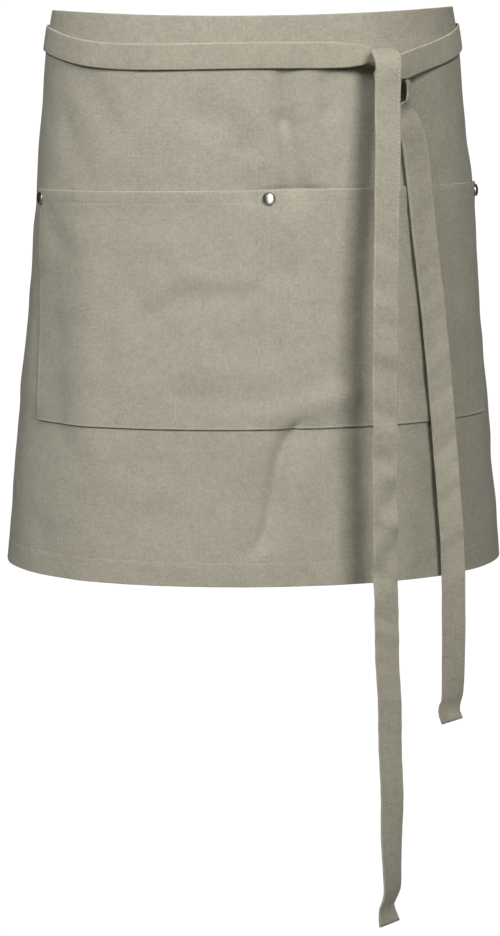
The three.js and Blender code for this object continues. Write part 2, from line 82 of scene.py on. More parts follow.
# Seams: their distance inside a hem or an edge, how wide and deep they draw the cloth in, and the
# small puckers along them
HEM_SEAM = 1
SEAM_INSET = 2
SEAM_WIDTH = 0.9
SEAM_SINK = 0.1
SEAM_SINK_INSIDE = 0.2
PANEL_PUCKER = 0.1
PANEL_PUCKER_LENGTH = 1.7
WAIST_PUCKER_REACH = 5
BOTTOM_PUCKER_REACH = 6
POCKET_PUCKER = 0.09
POCKET_PUCKER_LENGTH = 1.6
POCKET_PUCKER_REACH = 4
DIVIDER_START = 6
WAIST_SEAM = WAIST_HEM - HEM_SEAM
BOTTOM_SEAM = PANEL_LENGTH - BOTTOM_HEM + HEM_SEAM
SIDE_SEAM = PANEL_WIDTH / 2 - SIDE_HEM + HEM_SEAM
POCKET_HEM_SEAM = POCKET_DROP + POCKET_HEM - HEM_SEAM
POCKET_FOOT_SEAM = POCKET_BOTTOM - SEAM_INSET
POCKET_SIDE_SEAM = POCKET_WIDTH / 2 - SEAM_INSET

# Wear of the cloth, pale edges and seams, and painted shade: a darker waist hem and a darker right-hand
# side
PANEL_EDGE_WEAR = 0.6
PANEL_WEAR_REACH = 1.2
POCKET_EDGE_WEAR = 0.9
POCKET_WEAR_REACH = 1.4
SEAM_WEAR = 0.1
# Painted shade: how much darker the waist hem is
WAIST_HEM_PAINTED_SHADE = 0.4
# Painted shade: how much darker the right-hand side is, where the step starts and where it is full
SIDE_PAINTED_SHADE = 0.8
SIDE_SHADE_START = 70
SIDE_SHADE_FULL = 125

# Ties; the seam's place, width and crown are shares of half the tie's width and thickness
TIE_WIDTH = 20
TIE_CLOTH = 1.6
TIE_LIFT = -0.25
TIE_CROWN = 0.12
TIE_SEAM = -0.82
TIE_SEAM_WIDTH = 0.06
TIE_SEAM_SINK = 0.3
TIE_HEM = 9
TIE_HEM_FULLER = 0.8
LOOP_RADIUS = 16.1
LOOP_LEVEL = -5.3
WAIST_STEP = 10
TIE_STEP = 2.8
TIE_SIDES = 16

# Wear of the ties: pale rims where they lie flat, the folded one more than the sewn one, with a
# painted highlight along the folded edge; painted shade along the seam; and painted light and shade
# on the hanging ends at their start, past their middle and at their end
TIE_RIM = 1.3
TIE_FOLD_WEAR_AND_HIGHLIGHT = 1.5
TIE_SEWN_WEAR = 0.8
TIE_FLAT_SLOPE = 10
TIE_HEM_WEAR = 0.3
TIE_SEAM_PAINTED_SHADE = 0.4
END_SHADING_MIDDLE = 0.6
LEFT_TIE_END_SHADING = (-0.6, 0.6, -1.7)
RIGHT_TIE_END_SHADING = (-0.6, -0.35, -1.4)

# Rivets: the cap's size, the profile of the burr and post behind the panel, and the cap's rim
RIVET_INSET = 7
RIVET_SIDE_INSET = 3.5
RIVET_RADIUS = 5
RIVET_SEAT = 2.5
RIVET_RIM = 1.2
RIVET_CROWN = 1.4
RIVET_SHOULDER = 0.25
RIVET_SIDES = 48
CROWN_RINGS = 14
RIVET_POST = 1.4
BURR = table(
    "radius height",
    [(0, -3), (4, -3), (4.1, -2.85), (4.1, -2.05), (4, -1.9), (RIVET_POST, -1.9)],
)
CAP_RIM = table(
    "radius height",
    [(RIVET_POST, 0), (4.6, 0), (RIVET_RADIUS, 0.2), (RIVET_RADIUS, RIVET_RIM - 0.15)],
)

# Stitches: distance from one to the next, the size of one, how its rings swell and arch, and where
# runs of stitches start and stop
STITCH_PITCH = 3.0
STITCH_LENGTH = 2.5
STITCH_WIDTH = 0.5
STITCH_HEIGHT = 0.42
STITCH_SUNK = 0.2
STITCH_SIDES = 6
STITCH_ARCH = 0.14
STITCH_DIP = 0.3
STITCH_RINGS = table("part swell", [(-1, 0.15), (-0.7, 0.8), (0, 1), (0.7, 0.8), (1, 0.15)])
RUN_INSET = 3
TIE_RUN_INSET = 4
TIE_HEM_REACH = 8
TIE_HEM_PITCH = 2.7
TIE_STITCH_LEVEL = 0.5
TIE_STITCH_RISE = 0.24
# How fast the stitches of a hanging end darken: painted shade of their holes
TIE_STITCH_SHADE_FADE = 1.8

# Spacing of the cloth's grid, the closer steps at its edges and seams, and steps for slopes
CLOTH_SPACING = 3.3
POCKET_SPACING = 0.8 * CLOTH_SPACING
EDGE_STEPS = np.array([0.1, 0.35, 0.75, 1.3])
SEAM_STEPS = np.array([-1.4, -0.7, 0, 0.7, 1.4])
PROBE = 0.5
PROBE_ANGLE = 0.01

# Level sections of the worn skirt: reach from the section's middle to the sides, front and back,
# where that middle lies, how much the sides rise above the front, and the slope up to the right
SECTIONS = table(
    "drop half_width front back aside behind rise tilt",
    [
        (0, 164.5, 117, 112, 0, 0, 14, 0.009),
        (30, 170.3, 118, 114, 0, 0, 11.5, 0.01),
        (80, 175.4, 118, 114, 0.2, 2, 6.5, 0.013),
        (132, 182.1, 118, 113, 1.5, 5, 3, 0.016),
        (220, 190.9, 125, 106, 1.3, 15, 0, 0.014),
        (320, 202.6, 136, 95, 1.1, 28, 0, 0.012),
        (450, 216.4, 140, 92, 1, 34, -1, 0.008),
    ],
)

# Soft folds: a furrow or ridge from one place on the panel to another
FOLDS = table(
    "across drop to_across to_drop width height",
    [
        (16, 330, -3, 408, 13, -2.6),
        (46, 322, 20, 425, 20, 1.2),
        (-146, 56, -126, 84, 14, -2),
        (-174, 80, -160, 106, 12, -1.6),
        (14, 66, 24, 130, 13, -2.4),
        (-20, 102, -20, 130, 11, -1.8),
        (-55, 352, -90, 395, 16, -1.8),
        (-146, 180, -146, 420, 28, 1.6),
        (-205, 205, -202, 330, 22, -2.2),
        (22, 330, 18, 372, 9, 1),
        (-94, 216, -66, 200, 10, 0.8),
        (-66, 200, -18, 202, 10, 0.9),
        (-94, 228, -62, 214, 10, -0.8),
        (-62, 214, -14, 214, 10, -0.9),
        (-70, 277, -10, 276, 12, 0.9),
        (-66, 296, -8, 296, 12, -0.9),
        (2, 311, 66, 293, 11, 2.4),
        (28, 325, 70, 318, 10, -1.6),
        (6, 200, 32, 192, 9, -0.8),
        (14, 48, 14, 80, 8, -2.8),
        (14, 80, 19, 126, 8, -3.6),
        (48, 50, 50, 72, 8, -3),
        (-52, 72, -10, 94, 12, -1.5),
        (-10, 114, -9, 130, 7, 1.6),
        (-6, 132, 22, 132, 14, -2.4),
        (-152, 170, -152, 330, 14, 1.4),
        (-186, 170, -184, 330, 12, -1.3),
    ],
)

# The crease below the pocket: where it runs and how deep it is
CREASE_WIDTH = 4.8
CREASE = table(
    "drop across depth",
    [
        (312, 31, 0),
        (322, 20, 2.8),
        (334, 14, 4.2),
        (346, 10, 4.2),
        (364, 6, 3.9),
        (380, 4, 3.9),
        (394, 2, 3.6),
        (406, -2, 3.3),
        (418, -8, 2.5),
        (430, -16, 0),
    ],
)

# Unevenness of worn cloth: low waves of many lengths, each turned from the one before, that fade out
# below the ties
RIPPLE_COUNT = 16
RIPPLE_LENGTHS = np.geomspace(24, 90, RIPPLE_COUNT)
RIPPLE_SLANTS = 2.4 * np.arange(RIPPLE_COUNT)
RIPPLE_PHASES = 1.7 * np.arange(RIPPLE_COUNT)
RIPPLE_SLOPE = 0.0125
RIPPLE_START = 38
RIPPLE_FULL = 75

# Ties round the waist: angle travelled from the middle of the front, drop and lift off the panel
LEFT_TIE_WAIST = table(
    "angle drop lift",
    [
        (143, 11, 1.7),
        (154, 12, 1.7),
        (180, 22, 1.7),
        (206, 32.5, 1.7),
        (216, 33.5, 1.7),
        (232, 31, 1.7),
        (270, 20.2, 1.7),
        (317, 31.2, 1.7),
        (360, 30, 1.7),
        (379, 31, 2.4),
    ],
)
RIGHT_TIE_WAIST = table(
    "angle drop lift",
    [
        (138, 11, 1.8),
        (146, 11, 2.8),
        (154, 12, 4.4),
        (180, 22, 4.5),
        (206, 32.5, 4.4),
        (215, 33.5, 2.8),
        (232, 31, 1.8),
        (270, 22, 1.8),
        (302, 33, 3),
    ],
)

# The knot, from a point on the panel's face: right, out to the front and up, with the tie's width
# and thickness there, the slant of its width from level, and its turn about the upright
KNOT = np.array([103.0, -98.0, -24.0])
LEFT_TIE_KNOT = table(
    "right out up width cloth slant turn",
    [
        (-31.5, 15.4, 6.5, 18.8, 1.8, 90, 0),
        (-22, 15.6, 6.8, 16.8, 2, 90, 0),
        (-15, 15, 6.4, 14, 2.4, 90, 0),
        (-11.6, 14, 4.8, 10, 2.8, 90, 0),
        (-9, 13.4, 2.8, 6, 3.2, 90, 0),
        (-3, 12.4, 0.5, 6.6, 3.4, 80, 0),
        (3.6, 10.6, -2.8, 7, 3.4, 60, 0),
        (9.6, 5.2, -6.4, 7.2, 3.2, 45, 10),
        (15.4, 0.6, -8.8, 8, 2.8, 20, 55),
        (18.2, -0.4, -13, 10.5, 2.4, 4, 73),
        (18.9, -0.4, -17.5, 13, 2.2, 0, 75),
        (19.6, -0.4, -23, 16.5, 2, 0, 71),
        (20, -0.5, -28.5, 18.5, 1.8, 0, 62),
        (17.4, -0.7, -34, 20, 1.8, 0, 38),
        (17.6, -1.2, -41, 20, 1.8, 0, 19),
        (20.2, -1.5, -48, 20, 1.8, 0, 14),
    ],
)
RIGHT_TIE_KNOT = table(
    "right out up width cloth slant turn",
    [
        (23, -2, 2.5, 20, 1.8, 90, 0),
        (13, 9, -1.5, 20, 1.8, 90, 0),
        (5, 15.5, -1, 14, 2.4, 90, 0),
        (-2, 17.5, -2.5, 8, 3.2, 108, 0),
        (-5, 15.5, -8, 7, 3.4, 150, 0),
        (-5.5, 10.5, -11, 7, 3.2, 175, 0),
        (-5.5, 7.2, -6, 8, 2.4, 180, 0),
    ],
)

# Fold over the knot's top: degrees round it, place to the right of the knot's point, and width
LOOP_FOLD = table(
    "degrees right width",
    [
        (0, -2.8, 10.8),
        (45, -0.8, 11),
        (75, -0.4, 12.4),
        (100, -3.2, 18.6),
        (130, -2, 20),
        (155, 0, 20),
        (180, 0.1, 20),
    ],
)

# Hanging ends: where the middle of the tie runs, its width, and the width's slant and turn
LEFT_TIE_END = table(
    "x y z width slant turn",
    [
        (127.8, -94, -88, 20, 0, 6),
        (136.2, -89, -152, 20, 0, 6),
        (143.9, -84.5, -208, 20, 0, 6),
        (151.5, -80, -273, 20, 0, 6),
        (158.2, -76.5, -339, 20, 0, 6),
        (164.4, -74.5, -406, 20, 0, 6),
        (166.4, -74, -448, 20, 0, 6),
        (167.3, -74, -495, 20, 0, 8),
        (167.1, -74.5, -536, 20, 0, 20),
        (165.5, -75, -545.8, 20, 2, 30),
        (164.4, -78, -551.8, 19.5, 6, 18),
        (166.6, -82, -558.4, 18.5, 14.6, 4),
    ],
)
RIGHT_TIE_END = table(
    "x y z width slant turn",
    [
        (102.7, -136, -52.1, 20, 180, 6),
        (103, -141.5, -90, 20, 180, 10),
        (102.2, -148.5, -203.1, 20, 180, 12),
        (102.9, -147.5, -295.6, 20, 180, 12),
        (104.8, -143, -408.1, 20, 180, 13),
        (107.6, -139, -490, 20, 180, 14),
        (109.8, -137.5, -527.4, 20, 180, 15),
        (111.1, -136.5, -565.8, 20, 180, 17),
        (112.9, -136, -608, 20, 180, 20),
        (113.1, -136, -642.1, 20, 180, 28),
        (113.6, -136, -667.2, 20, 180, 38),
        (114, -136, -684.3, 20, 181, 43),
        (112.2, -136, -691.7, 20, 184, 47),
        (110, -136.5, -698.2, 20, 190, 49),
        (110.2, -137, -704.3, 19.5, 198, 46),
        (112.1, -138, -712.8, 19.5, 219, 38),
    ],
)

# Slack in the ties: slanting waves between two places along a tie
LEFT_TIE_WAVES = table(
    "start stop height wavelength slant phase",
    [
        (760, 1200, 0.7, 46, 0.6, 0.4),
        (800, 1150, 0.35, 21, 0.8, 1.3),
        (250, 560, 0.25, 60, 0.5, 1.0),
    ],
)
RIGHT_TIE_WAVES = table(
    "start stop height wavelength slant phase",
    [
        (640, 1040, 0.85, 33, 0.35, 0.0),
        (620, 1200, 0.3, 18.5, 0.5, 1.1),
        (560, 1250, 0.7, 74, 0.5, 2.0),
        (860, 990, 1.2, 46, -1.2, 3.3),
    ],
)


# Shapes


def unit(vectors):
    """Vectors divided by their own lengths."""
    return vectors / np.linalg.norm(vectors, axis=-1, keepdims=True)


def through(rows, key, column, place):
    """Cubic through a table's rows: its slope at a row is the slope between that row's neighbours."""
    keys, values = rows[key], rows[column]
    index = np.arange(len(keys))
    before, after = np.maximum(index - 1, 0), np.minimum(index + 1, len(keys) - 1)
    slopes = (values[after] - values[before]) / (keys[after] - keys[before])
    row = np.clip(np.searchsorted(keys, place) - 1, 0, len(keys) - 2)
    span = keys[row + 1] - keys[row]
    t = (place - keys[row]) / span
    stay = (1 + 2 * t) * (1 - t) ** 2
    leave = t * (1 - t) ** 2 * span * slopes[row]
    arrive = t**2 * (t - 1) * span * slopes[row + 1]
    return values[row] * stay + values[row + 1] * (1 - stay) + leave + arrive


def fuller(value):
    """Sine or cosine raised to a power below one, so that a section is fuller than an ellipse."""
    return np.sign(value) * np.abs(value) ** (2 / FULLNESS)


def on_section(drop, angle):
    """Point of the level section at a drop: half width times the fuller sine across, front or back
    reach times the fuller cosine in depth, and a height that rises towards the sides."""
    size = {column: through(SECTIONS, "drop", column, drop) for column in SECTIONS}
    facing = fuller(np.cos(angle))
    x = size["aside"] + size["half_width"] * fuller(np.sin(angle))
    y = size["behind"] - facing * np.where(facing > 0, size["front"], size["back"])
    risen = size["rise"] * (1 - facing) * (1 + facing / 2) + size["tilt"] * x
    return np.stack([x, y, TOP_HEIGHT - drop + risen], -1)


# Angle reached after each whole millimetre of cloth from the middle of the front, at each drop
DROP_STEP = 4.0
DROP_MARGIN = 8
ARC_REACH = 470
TURN_STEP = 0.5
SHORT_OF_LAST = 1.001
DROPS = np.arange(-DROP_MARGIN, PANEL_LENGTH + DROP_MARGIN + 1, DROP_STEP)
ARCS = np.arange(-ARC_REACH, ARC_REACH + 1, 1.0)
TURNS = np.radians(np.arange(-180, 180 + TURN_STEP, TURN_STEP))
OUTLINE = on_section(DROPS[:, None], TURNS[None, :])
CHORDS = np.linalg.norm(np.diff(OUTLINE, axis=1), axis=-1)
REACHED = np.cumsum(np.pad(CHORDS, ((0, 0), (1, 0))), axis=1)
REACHED -= REACHED[:, len(TURNS) // 2][:, None]
ANGLES = np.stack([np.interp(ARCS, reached, TURNS) for reached in REACHED])


def angle_after(drop, arc):
    """Angle after a length of cloth: the table's values blended between its rows and columns."""
    row = np.clip((drop + DROP_MARGIN) / DROP_STEP, 0, len(DROPS) - SHORT_OF_LAST)
    column = np.clip(arc + ARC_REACH, 0, len(ARCS) - SHORT_OF_LAST)
    above, left = row.astype(int), column.astype(int)
    down, right = row - above, column - left
    upper = ANGLES[above, left] * (1 - right) + ANGLES[above, left + 1] * right
    lower = ANGLES[above + 1, left] * (1 - right) + ANGLES[above + 1, left + 1] * right
    return upper * (1 - down) + lower * down


def skirt(across, drop):
    """Smooth skirt: the section's point after the length of cloth across the panel."""
    across, drop = np.broadcast_arrays(np.asarray(across, float), np.asarray(drop, float))
    return on_section(drop, angle_after(drop, across + PANEL_SHIFT))


def outward(surface, across, drop):
    """Unit normal of a surface: its step down crossed with its step to the right."""
    down = surface(across, drop + PROBE) - surface(across, drop - PROBE)
    aside = surface(across + PROBE, drop) - surface(across - PROBE, drop)
    return unit(np.cross(down, aside))


def bell(distance, width):
    """One on a line, fading to nought with the distance from it."""
    return np.exp(-((distance / width) ** 2))


def crease(across, drop):
    """Depth of the crease at a drop, fading as a bell with the distance across from its curve."""
    inside = np.clip(drop, CREASE["drop"][0], CREASE["drop"][-1])
    aside = across - through(CREASE, "drop", "across", inside)
    return through(CREASE, "drop", "depth", inside) * bell(aside, CREASE_WIDTH)


def fold_height(across, drop):
    """Sum of the folds, less the crease: each one's height fades as a bell with the distance from
    its line."""
    across, drop = np.broadcast_arrays(np.asarray(across, float), np.asarray(drop, float))
    place = np.stack([across, drop], -1)[..., None, :]
    start = np.stack([FOLDS["across"], FOLDS["drop"]], -1)
    run = np.stack([FOLDS["to_across"], FOLDS["to_drop"]], -1) - start
    along = np.clip(((place - start) * run).sum(-1) / (run**2).sum(-1), 0, 1)
    distance = np.linalg.norm(place - start - along[..., None] * run, axis=-1)
    return (FOLDS["height"] * bell(distance, FOLDS["width"])).sum(-1) - crease(across, drop)


def ripple(across, drop):
    """Sum of low straight waves: each one's height is its slope times its length over a full turn."""
    across, drop = (np.asarray(value, float)[..., None] for value in (across, drop))
    turns = (across * np.cos(RIPPLE_SLANTS) + drop * np.sin(RIPPLE_SLANTS)) / RIPPLE_LENGTHS
    waves = np.sin(2 * np.pi * turns + RIPPLE_PHASES) * RIPPLE_LENGTHS / (2 * np.pi)
    fade = np.clip((drop[..., 0] - RIPPLE_START) / (RIPPLE_FULL - RIPPLE_START), 0, 1)
    return RIPPLE_SLOPE * waves.sum(-1) * fade


def panel_face(across, drop, lift=0.0):
    """Outer face of the panel: the smooth skirt moved out by its folds, its unevenness and a lift."""
    height = fold_height(across, drop) + ripple(across, drop) + lift
    return skirt(across, drop) + outward(skirt, across, drop) * height[..., None]


def within_hem(from_edge, hem):
    """One inside a hem, falling to nought over a short slope past its sewn line."""
    return 1 - np.clip((from_edge - hem) / HEM_SLOPE, 0, 1)


def edge_round(from_edge, radius):
    """How far a rounded edge falls below the face: a quarter circle within its radius."""
    inside = np.clip(radius - from_edge, 0, radius)
    return radius - np.sqrt(radius**2 - inside**2)


def grid_values(low, high, spacing, seams=()):
    """Even values from low to high, with closer ones at both edges and about each seam."""
    even = np.linspace(low, high, round((high - low) / spacing) + 1)
    close = [low + EDGE_STEPS, high - EDGE_STEPS, *(seam + SEAM_STEPS for seam in seams)]
    return np.unique(np.concatenate([even, *close]).round(3))


def wall_faces(rows, columns):
    """Quads of a closed wall over a grid: the outer sheet, the inner one turned over, four rims."""
    out = np.arange(rows * columns).reshape(rows, columns)
    back = out + rows * columns

    def quads(a, b, c, d):
        """Rows of four corners."""
        return np.stack([a, b, c, d], -1).reshape(-1, 4)

    return np.concatenate(
        [
            quads(out[:-1, :-1], out[1:, :-1], out[1:, 1:], out[:-1, 1:]),
            quads(back[:-1, :-1], back[:-1, 1:], back[1:, 1:], back[1:, :-1]),
            quads(out[:-1, 0], back[:-1, 0], back[1:, 0], out[1:, 0]),
            quads(out[:-1, -1], out[1:, -1], back[1:, -1], back[:-1, -1]),
            quads(out[0, :-1], out[0, 1:], back[0, 1:], back[0, :-1]),
            quads(out[-1, :-1], back[-1, :-1], back[-1, 1:], out[-1, 1:]),
        ]
    )


def add_object(name, data):
    """Object of the scene with its own data."""
    made = bpy.data.objects.new(name, data)
    bpy.context.scene.collection.objects.link(made)
    return made


def add_piece(name, points, faces, material, slot, weave=None, wear_and_shading=None):
    """Mesh object from points in millimetres and faces, smooth shaded, with the cloth's own weave
    coordinates in metres as a UV map and its wear and painted light and shade as an attribute."""
    mesh = bpy.data.meshes.new(name)
    mesh.from_pydata((np.asarray(points).reshape(-1, 3) * MM).tolist(), [], faces)
    mesh.shade_smooth()
    if weave is not None:
        corners = np.empty(len(mesh.loops), dtype=np.int32)
        mesh.loops.foreach_get("vertex_index", corners)
        layer = mesh.uv_layers.new(name="weave")
        layer.uv.foreach_set("vector", (weave.reshape(-1, 2)[corners] * MM).ravel())
    if wear_and_shading is not None:
        mesh.attributes.new("wear_and_shading", "FLOAT", "POINT").data.foreach_set("value", wear_and_shading.ravel())
    mesh.materials.append(material)
    piece = add_object(name, mesh)
    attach(piece, "root")
    return piece


# Finishes


class Shade:
    """A node's output in a material. Arithmetic on it adds Math nodes."""

    def __init__(self, tree, socket=None):
        self.tree = tree
        self.socket = socket

    def node(self, kind, settings=None, sockets=None):
        """Adds a node: its settings first, then the values or links of its sockets."""
        made = self.tree.nodes.new(kind)
        for name, value in (settings or {}).items():
            setattr(made, name, value)
        for name, value in (sockets or {}).items():
            if isinstance(value, Shade):
                value.feed(made.inputs[name])
            else:
                made.inputs[name].default_value = value
        return made

    def take(self, kind, output, settings=None, sockets=None):
        """One output of a new node."""
        return Shade(self.tree, self.node(kind, settings, sockets).outputs[output])

    def feed(self, socket):
        """Links this output to a socket."""
        self.tree.links.new(self.socket, socket)

    def math(self, operation, *values):
        """A Math node on values or outputs."""
        return self.take("ShaderNodeMath", 0, {"operation": operation}, dict(enumerate(values)))

    def __add__(self, other):
        return self.math("ADD", self, other)

    __radd__ = __add__

    def __sub__(self, other):
        return self.math("SUBTRACT", self, other)

    def __rsub__(self, other):
        return self.math("SUBTRACT", other, self)

    def __mul__(self, other):
        return self.math("MULTIPLY", self, other)

    __rmul__ = __mul__

    def sine(self):
        """Its sine."""
        return self.math("SINE", self)

    def size(self):
        """Its size without its sign."""
        return self.math("ABSOLUTE", self)

    def above(self, level):
        """One where it is above a level, and nought elsewhere."""
        return self.math("GREATER_THAN", self, level)

    def noise(self, place, scale, detail=2.0):
        """Even noise from about -0.5 to 0.5."""
        sockets = {"Vector": place, "Scale": scale, "Detail": detail}
        return self.take("ShaderNodeTexNoise", "Fac", None, sockets) - 0.5

    def tinted(self, colour, amount):
        """A colour multiplied all over by an amount near one."""
        scaled = {"operation": "SCALE"}
        return self.take("ShaderNodeVectorMath", 0, scaled, {0: colour, "Scale": amount})

    def wear_and_shading(self):
        """The wear and painted light and shade that a piece holds at each point."""
        return self.take("ShaderNodeAttribute", "Fac", {"attribute_name": "wear_and_shading"})

    def bump(self, relief, strength, distance):
        """A normal turned by the slopes of a relief."""
        sockets = {"Strength": strength, "Distance": distance, "Height": relief}
        return self.take("ShaderNodeBump", "Normal", None, sockets)


def new_finish(name, **constants):
    """Material with a Principled shader whose constant sockets are set directly."""
    material = bpy.data.materials.new(name)
    material.use_nodes = True
    shader = material.node_tree.nodes["Principled BSDF"]
    for socket, value in constants.items():
        shader.inputs[socket.replace("_", " ")].default_value = value
    return material, shader, Shade(material.node_tree)


# Unevenness of the canvas: the scale and detail of its noise, and its share of the cloth's tone
CANVAS_NOISE = {
    "specks": (480.0, 1.0, 0.42),
    "flecks": (170.0, 1.0, 0.2),
    "clouds": (75.0, 1.0, 0.13),
    "blotches": (24.0, 2.0, 0.16),
}
SLUB_SCALE = 700.0
ALONG_WARP, ALONG_WEFT = (1.0, 0.2, 1.0), (0.2, 1.0, 1.0)
CANVAS_TONE = 0.95
THREAD_SHARE, WARP_SHARE, SLUB_SHARE, WEAR_AND_SHADING_SHARE = 0.05, 0.03, 0.3, 0.14


def cloth_finish(name, colour, pitch):
    """Plain-weave canvas: warp and weft take turns on top in a checker of threads, with slubs along
    both, soft blotches, paler cloth along worn edges, and the painted light and shade a piece holds."""
    material, shader, shade = new_finish(
        name, Sheen_Weight=0.12, Sheen_Roughness=0.55, Specular_IOR_Level=0.2
    )
    place = shade.take("ShaderNodeUVMap", "UV", {"uv_map": "weave"})
    split = shade.node("ShaderNodeSeparateXYZ", None, {0: place})
    across, along = Shade(shade.tree, split.outputs[0]), Shade(shade.tree, split.outputs[1])
    warp = (across * (np.pi / pitch)).sine()
    weft = (along * (np.pi / pitch)).sine()
    warp_on_top = (warp * weft).above(0.0)
    threads = warp.size() * warp_on_top + weft.size() * (1 - warp_on_top)

    def slub(stretch):
        """Noise drawn out along one set of threads."""
        stretched = {0: place, 1: stretch}
        return shade.noise(
            shade.take("ShaderNodeVectorMath", 0, {"operation": "MULTIPLY"}, stretched), SLUB_SCALE
        )

    slubs = slub(ALONG_WARP) * warp_on_top + slub(ALONG_WEFT) * (1 - warp_on_top)
    tone = CANVAS_TONE + threads * THREAD_SHARE + warp_on_top * WARP_SHARE + slubs * SLUB_SHARE
    noise = {}
    for kind, (scale, detail, share) in CANVAS_NOISE.items():
        noise[kind] = shade.noise(place, scale, detail)
        tone = tone + noise[kind] * share
    # Wear and painted light and shade that the piece holds
    tone = tone + shade.wear_and_shading() * WEAR_AND_SHADING_SHARE
    shade.tinted(colour, tone).feed(shader.inputs["Base Color"])
    (0.9 + slubs * 0.15).feed(shader.inputs["Roughness"])
    relief = threads * 0.5 + slubs * 0.8 + noise["specks"] * 0.8
    shade.bump(relief, strength=0.5, distance=0.0004).feed(shader.inputs["Normal"])
    return material


def thread_finish(name, colour):
    """Sewing thread: a twist in the cloth's tone with small changes along it, paler where worn, darker
    where it carries painted shade.
    """
    material, shader, shade = new_finish(name, Sheen_Weight=0.2)
    place = shade.take("ShaderNodeTexCoord", "Object")
    fuzz, drift = shade.noise(place, scale=900.0), shade.noise(place, scale=60.0)
    tone = 1.0 + fuzz * 0.5 + drift * 0.2 + shade.wear_and_shading() * 0.3
    shade.tinted(colour, tone).feed(shader.inputs["Base Color"])
    (0.8 + shade.noise(place, scale=1500.0) * 0.2).feed(shader.inputs["Roughness"])
    return material


def metal_finish(name, colour):
    """Dark polished metal: faint cloudy tarnish in its colour and gloss, and fine handling marks."""
    material, shader, shade = new_finish(name, Metallic=1.0)
    place = shade.take("ShaderNodeTexCoord", "Object")
    cloud = shade.noise(place, scale=420.0, detail=3.0)
    marks = shade.noise(place, scale=2600.0)
    tone = 1.0 + cloud * 0.5 + marks * 0.15
    shade.tinted(colour, tone).feed(shader.inputs["Base Color"])
    (0.3 + cloud * 0.1 + marks * 0.06).feed(shader.inputs["Roughness"])
    shade.bump(marks, strength=0.15, distance=0.0001).feed(shader.inputs["Normal"])
    return material


canvas = cloth_finish("canvas", (0.378, 0.354, 0.281), pitch=0.00098)
tie_canvas = cloth_finish("tie_canvas", (0.369, 0.345, 0.271), pitch=0.0009)
thread = thread_finish("sewing_thread", (0.44, 0.41, 0.325))
gunmetal = metal_finish("gunmetal", (0.55, 0.53, 0.5))


# Panel


def painted_side_shade(across):
    """Painted shade towards the right-hand side of the cloth: a smooth step down."""
    part = np.clip((across - SIDE_SHADE_START) / (SIDE_SHADE_FULL - SIDE_SHADE_START), 0, 1)
    return -SIDE_PAINTED_SHADE * part**2 * (3 - 2 * part)


def panel_wall():
    """Panel as a closed wall: the outer face, and an inner one below it by one thickness of canvas,
    two along the hems, both rounded off at the edges, drawn in along the seams and drawn back
    behind the pocket's mouth."""
    edge = PANEL_WIDTH / 2
    columns = grid_values(-edge, edge, CLOTH_SPACING, (-SIDE_SEAM, SIDE_SEAM))
    rows = grid_values(0, PANEL_LENGTH, CLOTH_SPACING, (WAIST_SEAM, MOUTH_LINE, BOTTOM_SEAM))
    across, drop = np.meshgrid(columns, rows)
    from_side, from_bottom = edge - np.abs(across), PANEL_LENGTH - drop
    from_edge = np.minimum(np.minimum(drop, from_bottom), from_side)
    waist_hem = within_hem(drop, WAIST_HEM)
    hem = np.maximum(waist_hem, within_hem(from_bottom, BOTTOM_HEM))
    hem = np.maximum(hem, within_hem(from_side, SIDE_HEM))
    thickness = CANVAS + HEM_LAYER * hem
    seam = np.maximum(bell(drop - WAIST_SEAM, SEAM_WIDTH), bell(drop - BOTTOM_SEAM, SEAM_WIDTH))
    seam = np.maximum(seam, bell(from_side - SIDE_HEM + HEM_SEAM, SEAM_WIDTH))
    puckered = bell(drop - WAIST_SEAM, WAIST_PUCKER_REACH) + bell(drop - BOTTOM_SEAM, BOTTOM_PUCKER_REACH)
    pucker = PANEL_PUCKER * np.sin(across / PANEL_PUCKER_LENGTH) * puckered
    fall = edge_round(from_edge, PANEL_EDGE_RADIUS)
    mouth = bell(across - MOUTH_MIDDLE, MOUTH_HALF) * bell(drop - POCKET_DROP, MOUTH_REACH)
    height = pucker - MOUTH_DEPTH * mouth
    outer = panel_face(across, drop, height - SEAM_SINK * seam - fall)
    inner = panel_face(across, drop, height + SEAM_SINK_INSIDE * seam - thickness + fall)
    wear_and_shading = PANEL_EDGE_WEAR * np.exp(-from_edge / PANEL_WEAR_REACH) + SEAM_WEAR * seam
    # Painted shade: a darker waist hem and a darker right-hand side
    wear_and_shading = wear_and_shading - WAIST_HEM_PAINTED_SHADE * waist_hem + painted_side_shade(across)
    weave = np.stack([across, drop], -1)
    faces = wall_faces(len(rows), len(columns)).tolist()
    return np.stack([outer, inner]), faces, np.stack([weave, weave]), np.stack([wear_and_shading, wear_and_shading])


points, faces, weave, wear_and_shading = panel_wall()
panel = add_piece("apron_panel", points, faces, canvas, "canvas", weave, wear_and_shading)
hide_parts("skirt_panel")


# Pocket


def pocket_lift(across, drop):
    """How far the pocket's outer face stands off the panel: sewn flat, doubled along its top hem,
    and gaping a little between the rivets."""
    from_top = drop - POCKET_DROP
    between = np.sin(2 * np.pi * across / (POCKET_WIDTH - 2 * RIVET_SIDE_INSET)) ** 2
    gape = POCKET_GAPE * between * bell(from_top, GAPE_REACH)
    return POCKET_LIFT + POCKET_HEM_LIFT * bell(from_top, POCKET_HEM) + gape


def pocket_face(across, drop):
    """Outer face of the pocket: the panel's face lifted."""
    return panel_face(across, drop, pocket_lift(across, drop))


